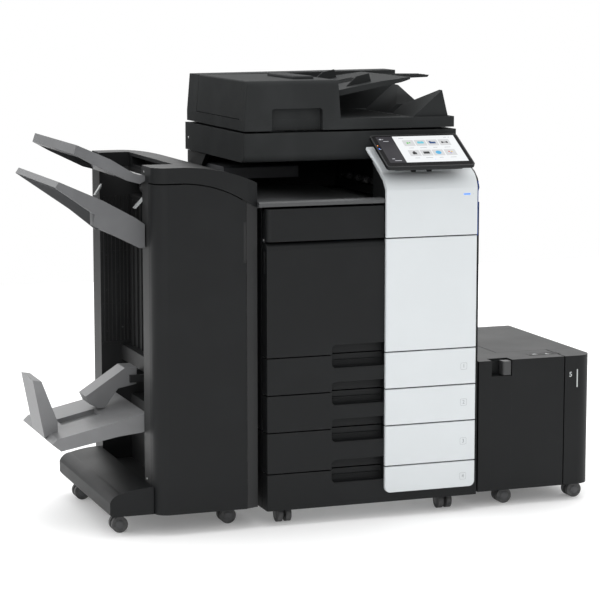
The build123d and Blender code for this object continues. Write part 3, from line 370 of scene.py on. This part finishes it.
def printed(name, text, centre, across, up, height, body, material, relief=0.15, bold=0.0):
    """Raised figure: the built-in typeface's outline, widened, thickened and stood on a face."""
    curve = bpy.data.curves.new(name, "FONT")
    curve.offset = bold * MM
    curve.body, curve.size, curve.extrude = text, height * MM * 1.38, relief * MM
    curve.align_x, curve.align_y = "CENTER", "CENTER"
    solid = bpy.data.objects.new(name + "_curve", curve)
    scene.collection.objects.link(solid)
    mesh = bpy.data.meshes.new_from_object(solid)
    bpy.data.objects.remove(solid)
    place = np.eye(4)
    for column, vector in enumerate((across, up, np.cross(across, up), centre)):
        place[:3, column] = vector
    mesh.transform(Matrix(place.tolist()))
    mesh.name = name
    return settle(bpy.data.objects.new(name, mesh), body, material)


# ================================ drawer figures and pull rims ===============================
# Each white drawer panel carries its number in a rounded frame, printed in pale grey. The finger
# pockets have a moulded step inside and a slightly proud rim along their lower edge.
ink = moulded("pale_grey_ink", (0.25, 0.265, 0.285), 0.5, depth=0.00001, edge_rub_and_highlight=0.0)
figure_x, panel_face = 569.7, -10.0
figure_z = (412.0, 311.0, 201.5, 102.5)
pocket_x = 262.0


def figure_frame(name, z, body):
    """Raised ring about a figure: two rounded outlines, each at the back and at the front, joined
    in a closed loop of four-sided faces."""
    outer, inner = loop(19.0, 19.0, 3.2) * MM, loop(17.9, 17.9, 2.7) * MM
    sunk, proud = -0.05, 0.14
    rings = np.array([at(figure_x, panel_face - lift, z) + flat[:, :1] * X + flat[:, 1:] * Z
                      for flat, lift in ((inner, sunk), (outer, sunk), (outer, proud),
                                         (inner, proud))])
    rows, around = rings.shape[:2]
    index = np.arange(rows * around).reshape(rows, around)
    index = np.vstack([index, index[:1]])
    after = np.roll(index, -1, axis=1)
    sides = np.stack([index[:-1], after[:-1], after[1:], index[1:]], -1)
    mesh = bpy.data.meshes.new(name)
    mesh.from_pydata(rings.reshape(-1, 3).tolist(), [], sides.reshape(-1, 4).tolist())
    settle(bpy.data.objects.new(name, mesh), body, ink)


for number, z in enumerate(figure_z, 1):
    body = f"drawer_{number}"
    printed(f"drawer_figure_{number}", str(number), at(figure_x, panel_face, z), X, Z, 10.5, body,
            ink)
    figure_frame(f"figure_frame_{number}", z, body)
    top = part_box(f"drawer_{number}")[1].z / MM
    skin(f"pull_rim_{number}",
         [pad(at(pocket_x, 1.2, top - 35.2), X, Z, (138.0, 2.6), 2.2, 1.2, 0.8),
          pad(at(pocket_x, 22.5, top - 17.0), X, Z, (146.0, 3.0), 3.5, 1.4, 0.8)],
         body, charcoal)

# ================================ column lamps ===============================================
# Under the panel the white column has a blue lamp bar and a small service lamp behind clear
# windows, and a thin blue strip runs down its right edge.
def lamp_glass(name, colour, power):
    """Clear window over a lamp: the light is strongest in the middle of its run."""
    def paint(start, place):
        return {"Base Color": start.noise(place, 400.0).blend(
                    tuple(c * 0.6 for c in colour) + (1.0,), tuple(colour) + (1.0,)),
                "Emission Color": start.noise(place, 60.0).blend(
                    tuple(c * 0.85 for c in colour) + (1.0,), tuple(colour) + (1.0,)),
                "Roughness": start.noise(place, 200.0) * 0.1 + 0.15}
    return finish_of(name, paint, **{"Emission Strength": power})


blue_lamp = lamp_glass("blue_lamp", (0.03, 0.17, 0.95), 1.3)
white_lamp = lamp_glass("white_lamp", (0.55, 0.58, 0.62), 0.25)
strip_blue = lamp_glass("strip_blue", (0.012, 0.06, 0.28), 0.35)
lamp_face, lamp_z = -9.8, 888.0
skin("column_lamp_bar", pad(at(574.0, lamp_face, lamp_z), X, Z, (19.5, 3.4), 0.7, 1.4, 0.3), "root",
     blue_lamp)
skin("column_service_lamp", pad(at(593.0, lamp_face, lamp_z), X, Z, (2.6, 2.6), 0.6, 1.25, 0.3),
     "root", white_lamp)
skin("column_edge_strip", pad(at(607.7, -5.0, 848.0), Y, Z, (6.0, 150.0), 1.2, 1.0, 0.4), "root",
     strip_blue)

# ================================ touch panel ================================================
# A tilting panel in glossy black: a bezel, a dark key column on the left and a lit white page
# with two rows of tiles. The marks on the tiles are plain shapes.
gloss = moulded("gloss_black", (0.004, 0.004, 0.0045), 0.28, grain=300.0, depth=0.000004,
                edge_rub_and_highlight=0.1, **{"Specular IOR Level": 0.03})
orange_lamp = lamp_glass("orange_lamp", (0.9, 0.25, 0.03), 0.9)
wear(charcoal, "panel_housing")
wear(gloss, "panel_screen")
lean = math.radians(29.0)
up_panel = np.array([0.0, math.cos(lean), math.sin(lean)])
panel_out = np.cross(X, up_panel)
low, high = (np.array(corner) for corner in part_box("panel_screen"))
panel_middle = (low + high) / 2 + panel_out * 0.55 * MM


def lit(name, colour, power=0.95):
    """A lit patch of the display: even light with the faint grid of its dots."""
    def paint(start, place):
        grid = start.noise(place, 2500.0, 0.0)
        shade = grid.blend(tuple(c * 0.94 for c in colour) + (1.0,), tuple(colour) + (1.0,))
        return {"Base Color": grid.blend((0.02, 0.02, 0.02, 1.0), (0.03, 0.03, 0.03, 1.0)),
                "Emission Color": shade, "Roughness": start.noise(place, 90.0) * 0.08 + 0.28}
    return finish_of(name, paint, **{"Emission Strength": power, "Specular IOR Level": 0.03})


def panel_point(across, up, out):
    """A point in metres from the middle of the panel's face: across, up it and out of it in mm."""
    return panel_middle + X * across * MM + up_panel * up * MM + panel_out * out * MM


def on_panel(name, marks, material, lift):
    """Flat marks on the panel's face: (across, up, width, height, corner) in mm each."""
    skin(name, [pad(panel_point(u, v, lift), X, up_panel, (w, h), 0.12, c, 0.03)
                for u, v, w, h, c in marks], "control_panel", material)


# The page lies on the glass, the tiles on the page, and the marks on the tiles.
on_page, on_tile = 0.13, 0.26
tile_u, tile_v = (-27.0, 8.0, 43.0, 78.5), (36.0, -13.0)
on_panel("panel_key_column", [(-90.0, 6.5, 46.0, 127.0, 1.0)],
         lit("lit_slate", (0.014, 0.0125, 0.018), 1.0), 0.0)
on_panel("panel_page", [(25.5, 6.5, 181.0, 127.0, 0.6)],
         lit("lit_white", (0.90, 0.92, 0.935), 1.0), 0.0)
on_panel("panel_tiles", [(u, v, 32.0, 29.0, 2.0) for u in tile_u for v in tile_v],
         lit("lit_tile", (0.68, 0.69, 0.70), 1.0), on_page)
captions = [(u, v - 24.0, w, 1.6, 0.5) for v in tile_v
            for u, w in zip(tile_u, (14.0, 20.0, 12.0, 17.0))]
captions += [(u, 60.0, w, 1.6, 0.5) for u, w in ((-42.0, 14.0), (88.0, 9.0), (99.0, 4.0))]
on_panel("panel_captions", captions, lit("lit_grey", (0.36, 0.37, 0.39), 1.0), on_page)
on_panel("panel_key_marks", [(-103.0, 57.0, 7.0, 5.0, 1.0), (-90.0, 47.0, 16.0, 2.4, 1.0),
                             (-97.0, -38.0, 8.0, 3.0, 1.0), (-86.0, -47.0, 20.0, 2.6, 1.0),
                             (-96.0, 57.0, 3.0, 3.0, 1.0)],
         lit("lit_pale", (0.55, 0.56, 0.60)), on_page)
on_panel("panel_mark_green", [(-30.5, 36.0, 5.0, 8.0, 2.2), (-24.0, 37.5, 5.0, 5.0, 2.2)],
         lit("lit_green", (0.16, 0.60, 0.14)), on_tile)
on_panel("panel_marks_sky", [(8.0, 36.5, 19.0, 8.0, 1.0), (3.5, 41.5, 7.0, 3.0, 1.0),
                             (12.5, 41.5, 7.0, 3.0, 1.0)],
         lit("lit_sky", (0.16, 0.62, 0.76)), on_tile)
on_panel("panel_mark_navy", [(43.0, 35.5, 18.0, 8.5, 1.5), (36.5, 38.5, 8.0, 9.0, 3.9)],
         lit("lit_navy", (0.02, 0.07, 0.22)), on_tile)
on_panel("panel_marks_black", [(78.5, 36.0, 17.0, 3.4, 0.6), (71.5, 36.0, 5.0, 8.0, 0.8),
                               (85.5, 36.0, 5.0, 8.0, 0.8), (-27.0, -14.5, 12.0, 10.0, 1.2),
                               (-27.0, -8.0, 7.0, 7.0, 3.0), (8.0, -12.5, 18.0, 10.5, 1.0)],
         lit("lit_black", (0.02, 0.02, 0.022)), on_tile)
for colour_name, mark, colour in (
        ("blue", (43.0, -13.0, 16.5, 16.5, 8.2), (0.10, 0.48, 0.80)),
        ("red", (75.0, -10.0, 5.0, 5.0, 2.4), (0.70, 0.16, 0.12)),
        ("amber", (82.5, -11.0, 5.0, 5.0, 2.4), (0.85, 0.55, 0.08)),
        ("violet", (78.5, -17.0, 5.0, 4.0, 1.9), (0.30, 0.22, 0.60))):
    on_panel(f"panel_mark_{colour_name}", [mark], lit(f"lit_{colour_name}", colour), on_tile)
on_panel("panel_lamp_orange", [(-121.0, 27.0, 2.6, 4.2, 1.2)], orange_lamp, 0.05)
on_panel("panel_lamp_blue", [(-121.0, 11.5, 2.6, 4.0, 1.2), (22.0, -45.0, 1.8, 1.8, 0.8)],
         blue_lamp, 0.15)
on_panel("panel_lamp_white", [(-118.0, 9.0, 2.2, 3.0, 1.0)], white_lamp, 0.05)
skin("panel_power_key", pad(panel_point(-128.4, 6.0, -5.0), up_panel, panel_out, (16.0, 5.0), 1.0,
                            2.0, 0.6), "control_panel", gloss)

# ================================ panel shoulder and back box ================================
# The white column widens into a rounded shoulder behind the panel's left side. The panel has a
# shallow box for its electronics under it.
shoulder = []
shoulder_right = 604.0
lean_out = np.array([0.0, -0.72, 0.69])
for left, y, z, thick in ((338.5, 21.0, 937.0, 9.0), (335.5, 36.0, 955.0, 10.0),
                          (329.0, 50.0, 972.0, 11.0), (322.0, 66.0, 989.0, 12.0),
                          (316.5, 79.0, 1002.0, 12.0), (314.0, 86.0, 1010.0, 9.0),
                          (317.0, 90.0, 1014.5, 3.0)):
    section = loop(shoulder_right - left, thick, min(thick / 2 - 0.2, 5.5)) * MM
    middle = at((left + shoulder_right) / 2, y, z)
    shoulder.append(middle + section[:, :1] * X + section[:, 1:] * lean_out)
skin("column_shoulder", np.array(shoulder), "root", white, 50.0)
skin("panel_back_box", pad(panel_point(-1.0, -6.0, -18.5), X, up_panel, (204.0, 124.0), 8.0, 8.0,
                           0.6), "control_panel", charcoal)

# ================================ inner units and glass ======================================
# Behind the doors: imaging units over the laser box, the belt unit, the fuser and four toner
# bottles. The scanner has a glass plate and a dark carriage under it.
unit_plastic = moulded("unit_plastic", (0.035, 0.037, 0.041), 0.5)
wear(unit_plastic, "imaging_units", "transfer_belt_unit", "fuser_unit", "scan_carriage",
     "relay_unit")
bottles_left, bottle_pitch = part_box("toner_bottles")[0].x, 0.084


def bottle_paint(start, place):
    """Four bottle colours, one after another along X, under faint moulding streaks."""
    split = start.node("ShaderNodeSeparateXYZ", None, {"Vector": place})
    along = (split - bottles_left) * (1.0 / (4 * bottle_pitch))
    tones = ((0.72, 0.55, 0.03), (0.55, 0.03, 0.22), (0.02, 0.22, 0.50), (0.02, 0.02, 0.022))
    stops = []
    for i, tone in enumerate(tones):
        stops += [(i / 4 + 0.002 * (i > 0), tone + (1.0,)), ((i + 1) / 4 - 0.002, tone + (1.0,))]
    colour = start.node("ShaderNodeValToRGB", {"stops": stops}, {"Fac": along})
    return {"Base Color": (start.noise(place, 35.0) * 0.25).blend(colour, (0.3, 0.3, 0.3, 1.0)),
            "Roughness": start.noise(place, 120.0) * 0.2 + 0.3}


wear(finish_of("bottle_plastic", bottle_paint), "toner_bottles")
glass = moulded("platen_glass", (0.02, 0.03, 0.028), 0.05, grain=200.0, depth=0.000002, edge_rub_and_highlight=0.0,
                **{"Coat Weight": 0.5, "Coat Roughness": 0.03})
wear(glass, "platen_glass")

# ================================ rollers ====================================================
# Feed and exit rollers are ribbed rubber on steel shafts, held in the side plates. The small pale
# idlers at the feeder's mouth and the row in the output slot are snapped on their shafts.
def rubber_paint(start, place):
    """Matt rubber with ground rings and a little paper dust."""
    dust = start.noise(place, 45.0, 4.0).rise(0.45, 0.8)
    return {"Base Color": dust.blend((0.028, 0.028, 0.030, 1.0), (0.12, 0.12, 0.12, 1.0)),
            "Roughness": dust * 0.15 + 0.6,
            "Normal": start.node("ShaderNodeBump", None, {"Strength": 0.5, "Distance": 0.0001,
                                 "Height": start.noise(place, 900.0, 2.0)})}


rubber = finish_of("roller_rubber", rubber_paint)
wear(rubber, "feeder_pickup_roller", "finisher_exit_roller")
idler = moulded("idler_plastic", (0.48, 0.50, 0.50), 0.4)
idler_x, idler_z = 244.0, 1178.0
skin("feeder_idlers", [turned(at(idler_x, y, idler_z), Y, ((0, 4.6), (1, 6), (13, 6), (14, 4.6)))
                       for y in range(236, 437, 50)], "feeder", idler)
skin("feeder_idler_shaft", turned(at(idler_x, 142.5, idler_z), Y, ((0, 2), (393, 2))), "feeder",
     zinc)
slot_x, slot_z = 409.0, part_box("output_tray")[1].z / MM + 20
skin("output_rollers", [turned(at(slot_x, y, slot_z), Y, ((0, 8.6), (1, 10), (25, 10), (26, 8.6)))
                        for y in range(176, 449, 68)], "root", rubber)
skin("output_roller_shaft", turned(at(slot_x, 149.0, slot_z), Y, ((0, 3), (372, 3))), "root", zinc)

# ================================ feeder details =============================================
# The cover carries a low latch hump, and the trays have moulded ribs that the sheets slide on.
# Domed screws hold the covers: one on the scanner's left side, two on the finisher's and the rest
# in rows at the rear.
skin("feeder_latch", pad(at(167.0, 286.0, 1197.0), X, Y, (60.0, 228.0), 9.5, 9.0, 4.5),
     "feeder_cover", matt)


def rib(start, end, width=2.0, rise=1.5):
    """Rings of a low rib from start to end, sunk a little into the face under it."""
    low, high = -0.6 * MM * Z, rise * MM * Z
    half = width / 2 * MM * Y
    return bar([low - half, high - half * 0.6, high + half * 0.6, low + half], start, end)


skin("input_ribs", [rib(at(268, y, 1169.6), at(382, y, 1190.1)) for y in range(300, 380, 18)]
     + [rib(at(472, y, 1200.4), at(582, y, 1198.7)) for y in (314, 336, 358)], "input_tray",
     matt)
skin("feeder_floor_ribs", [rib(at(256, y, 1093.5), at(450, y, 1093.5), 2.4, 1.6)
                           for y in range(170, 520, 34)], "feeder", matt)


def screw(point, along, radius=4.0):
    """Rings of a domed screw head standing on a face, and looking along."""
    return turned(point, along, ((-0.4, radius), (0.7, radius), (1.5, radius * 0.78),
                                 (1.9, radius * 0.4)), 20)


left_faces = [screw(at(-31.0, 604.0, 1016.0), -X, 3.4), screw(at(-308.0, 96.0, 966.0), -X, 3.2),
              screw(at(-308.0, 96.0, 140.0), -X, 3.2)]
main_rear, finisher_rear = 650.0, 641.0
rear_faces = [screw(at(x, main_rear, z), Y) for x in (14, 601) for z in (70, 300, 540, 800)]
rear_faces += [screw(at(x, finisher_rear, z), Y) for x in (-290, -76) for z in (110, 480, 850)]
skin("cover_screws", left_faces + rear_faces, "root", zinc)

# ================================ finisher details ===========================================
# Two pale slanted guides stand beside the stacking bay. The stacking trays have flat dark pads near
# their outer ends: painted shade standing in for their slots.
for name, y, low, high in (("tray_guide_front", 125.0, (-331.6, 868.2), (-306.0, 893.5)),
                           ("tray_guide_rear", 556.0, (-326.7, 862.9), (-306.0, 892.5))):
    line = [(low[0], low[1]), (low[0] + 5.5, low[1] - 1.5), (high[0], high[1] - 6),
            (high[0], high[1] + 2)]
    ring = np.array([at(x, 0.0, z) for x, z in line])
    skin(name, bar(ring, Y * (y - 8) * MM, Y * (y + 6) * MM), "root", idler)
# Flat charcoal pads on the trays: painted shade in place of the slots' openings.
for name, body, tip, inner in (("upper_tray_slot_shade", "root", (-493, 1042), (-403, 1002.5)),
                               ("lower_tray_slot_shade", "elevator_tray", (-541, 947), (-423, 894))):
    run = np.array([inner[0] - tip[0], 0.0, inner[1] - tip[1]])
    run /= np.linalg.norm(run)
    skin(name, [pad(at(tip[0], y, tip[1]) + run * 24 * MM, Y, -run, (104.0, 7.0), 0.35, 3.0, 0.12)
                for y in (238.0, 406.0)], body, charcoal)


def slab(outline, y0, y1):
    """Rings of a plate: an outline in x and z, from y0 to y1."""
    return bar(np.array([at(x, y0, z) for x, z in outline]), 0 * Y, Y * (y1 - y0) * MM)


# The elevator tray is one hollow moulding: a thin top, a deep flange in front, a shallow one at
# the back, ribs under the top, and the tongue that reaches the lift in the bay.
top_line = [(-541, 947), (-423, 894), (-338, 847), (-311, 828)]
under = [(-319, 822), (-345, 840), (-423, 886), (-528, 933), (-551, 932)]
deep = [(-311, 766), (-325, 765), (-450, 829), (-447, 858), (-551, 932)]
tray_parts = [slab(top_line + under, 95, 548), slab(top_line + deep, 85, 95),
              slab(top_line + [(-311, 766), (-325, 765), (-400, 826), (-551, 932)], 548, 558),
              slab([(-311, 828), (-319, 822), (-319, 766), (-311, 766)], 95, 548),
              slab([(-444, 862), (-450, 862), (-450, 829), (-444, 826)], 95, 122),
              slab([(-311, 824), (-231, 783), (-231, 773), (-311, 812)], 126, 554)]
rib_line = [(-520, 928), (-423, 885), (-345, 839), (-345, 826), (-423, 872), (-524, 918)]
tray_parts += [slab(rib_line, y, y + 3) for y in (180, 270, 360, 450)]
elevator = skin("elevator_tray_moulding", tray_parts, "elevator_tray", dark_grey)
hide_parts("elevator_tray")

# Upright rails, a cross seam and small holes mark the bay's rear side. The rails and seam take the
# bay's black, lightened as painted light.
bay_side = 561.2
skin("bay_rails", [slab([(x, 442), (x + w, 442), (x + w, 858), (x, 858)], bay_side - d, bay_side)
                   for x, w, d in ((-299, 5, 4), (-287, 2.5, 3), (-276, 2.5, 3), (-265, 5, 4),
                                   (-252, 2.5, 3), (-241, 2.5, 3), (-231, 4, 4))],
     "root", bay_black_painted_light)
skin("bay_cross_bars", [slab([(-305, z), (-226, z), (-226, z + h), (-305, z + h)], bay_side - 1.8,
                             bay_side) for z, h in ((431, 8), (548, 2), (700, 1.6))],
     "root", bay_black_painted_light)
skin("bay_holes", [turned(at(x, bay_side + 0.1, z), -Y, ((0, 3.2), (0.5, 3.2), (0.6, 2.4)), 18)
                   for x, z in ((-293, 800), (-293, 690), (-246, 820), (-293, 590), (-259, 640),
                                (-246, 480), (-293, 470))], "root", rubber)

# ================================ deck marks =================================================
# The deck's front carries its number and a pale line that shows the paper level. A glossy strip on
# its top holds two plain marks.
deck_face, deck_top = 13.0, 417.0
skin("deck_level_line", pad(at(929.8, deck_face, 352.5), X, Z, (3.5, 51.7), 0.5, 1.2, 0.2), "deck",
     idler)
printed("deck_figure", "5", at(909.2, deck_face, 363.8), X, Z, 14.0, "deck", idler,
        bold=0.35)
skin("deck_top_strip", pad(at(851.0, 72.5, deck_top), X, Y, (96.0, 29.0), 0.35, 2.0, 0.15), "deck",
     gloss)
skin("deck_top_marks", [pad(at(x, y, deck_top + 0.3), X, Y, size, 0.2, 0.8, 0.08)
                        for x, y, size in ((824, 69, (16, 3.0)), (824, 75, (9, 6)),
                                           (860, 65, (13, 3)), (860, 72, (4, 8)))],
     "deck", idler)

# ================================ inside the drawers =========================================
# Each drawer has a sprung steel plate that lifts the stack, with two side guides and an end guide
# clipped over it. The deck has a sprung lift plate of its own.
guide_plastic = moulded("guide_plastic", (0.055, 0.058, 0.062), 0.48)
box_x, box_y = 307.0, 300.0
guide_height, guide_thick = 46.0, 3.0
for number, floor_z in zip((4, 3, 2, 1), (68.0, 158.25, 271.25, 373.25)):
    body = f"drawer_{number}"
    guide_z = floor_z + 24.5
    skin(f"lift_plate_{number}",
         pad(at(box_x, box_y, floor_z + 0.2), X, Y, (470.0, 400.0), 1.2, 14.0, 0.3),
         body, zinc)
    skin(f"paper_guides_{number}",
         [pad(at(x, box_y, guide_z), Y, Z, (150.0, guide_height), guide_thick, 4.0, 0.8)
          for x in (145.0, 466.0)]
         + [pad(at(box_x, 528.0, guide_z), X, Z, (60.0, guide_height), guide_thick, 4.0, 0.8)],
         body, guide_plastic)
skin("deck_lift_plate", pad(at(802.0, 310.0, 53.0), X, Y, (320.0, 440.0), 1.5, 14.0, 0.3), "deck",
     zinc)

# ================================ casters ====================================================
# Twin-wheel casters: pressed black plates and legs, hard grey tyres, and a moulded cap over each
# axle end.
painted = moulded("painted_steel", (0.02, 0.02, 0.021), 0.35, grain=700.0)
wear(painted, "fixed_caster_forks", "deck_caster_forks", "caster_fork_left", "caster_fork_right")


def tyre_paint(start, place):
    """Hard rubber, paler and dustier where it has rolled."""
    dust = start.noise(place, 80.0, 4.0).rise(0.3, 0.7)
    return {"Base Color": dust.blend((0.035, 0.036, 0.038, 1.0), (0.085, 0.085, 0.085, 1.0)),
            "Roughness": dust * 0.2 + 0.55}


tyre = finish_of("tyre_rubber", tyre_paint)
wear(tyre, "caster_wheels_left", "caster_wheels_right", "main_rear_wheels", "finisher_wheels_left",
     "finisher_wheels_right", "deck_wheels_left", "deck_wheels_right")
cap_plastic = moulded("cap_plastic", (0.06, 0.061, 0.064), 0.4)


def caps(name, body, middles, along):
    """A cap on the outer face of both wheels of each caster, given the middles of their axles."""
    skin(name, [turned(at(*middle) + side * along * 19.4 * MM, side * along,
                       ((0, 11.5), (0.9, 11.5), (1.7, 9.5), (1.9, 3.0)), 24)
                for middle in middles for side in (1, -1)], body, cap_plastic)


axle_z = 22
left_x, right_x = 64, 540
caps("hub_caps_front_left", "caster_wheels_left", [(left_x, 62, axle_z)], X)
caps("hub_caps_front_right", "caster_wheels_right", [(right_x, 62, axle_z)], X)
caps("hub_caps_rear", "main_rear_wheels", [(x, 560, axle_z) for x in (left_x, right_x)], X)
for side, x in (("left", -388), ("right", -84)):
    caps(f"finisher_caps_{side}", f"finisher_wheels_{side}", [(x, y, axle_z) for y in (104, 511)],
         Y)
for side, x in (("left", 724), ("right", 944)):
    caps(f"deck_caps_{side}", f"deck_wheels_{side}", [(x, y, axle_z) for y in (69, 510)], Y)
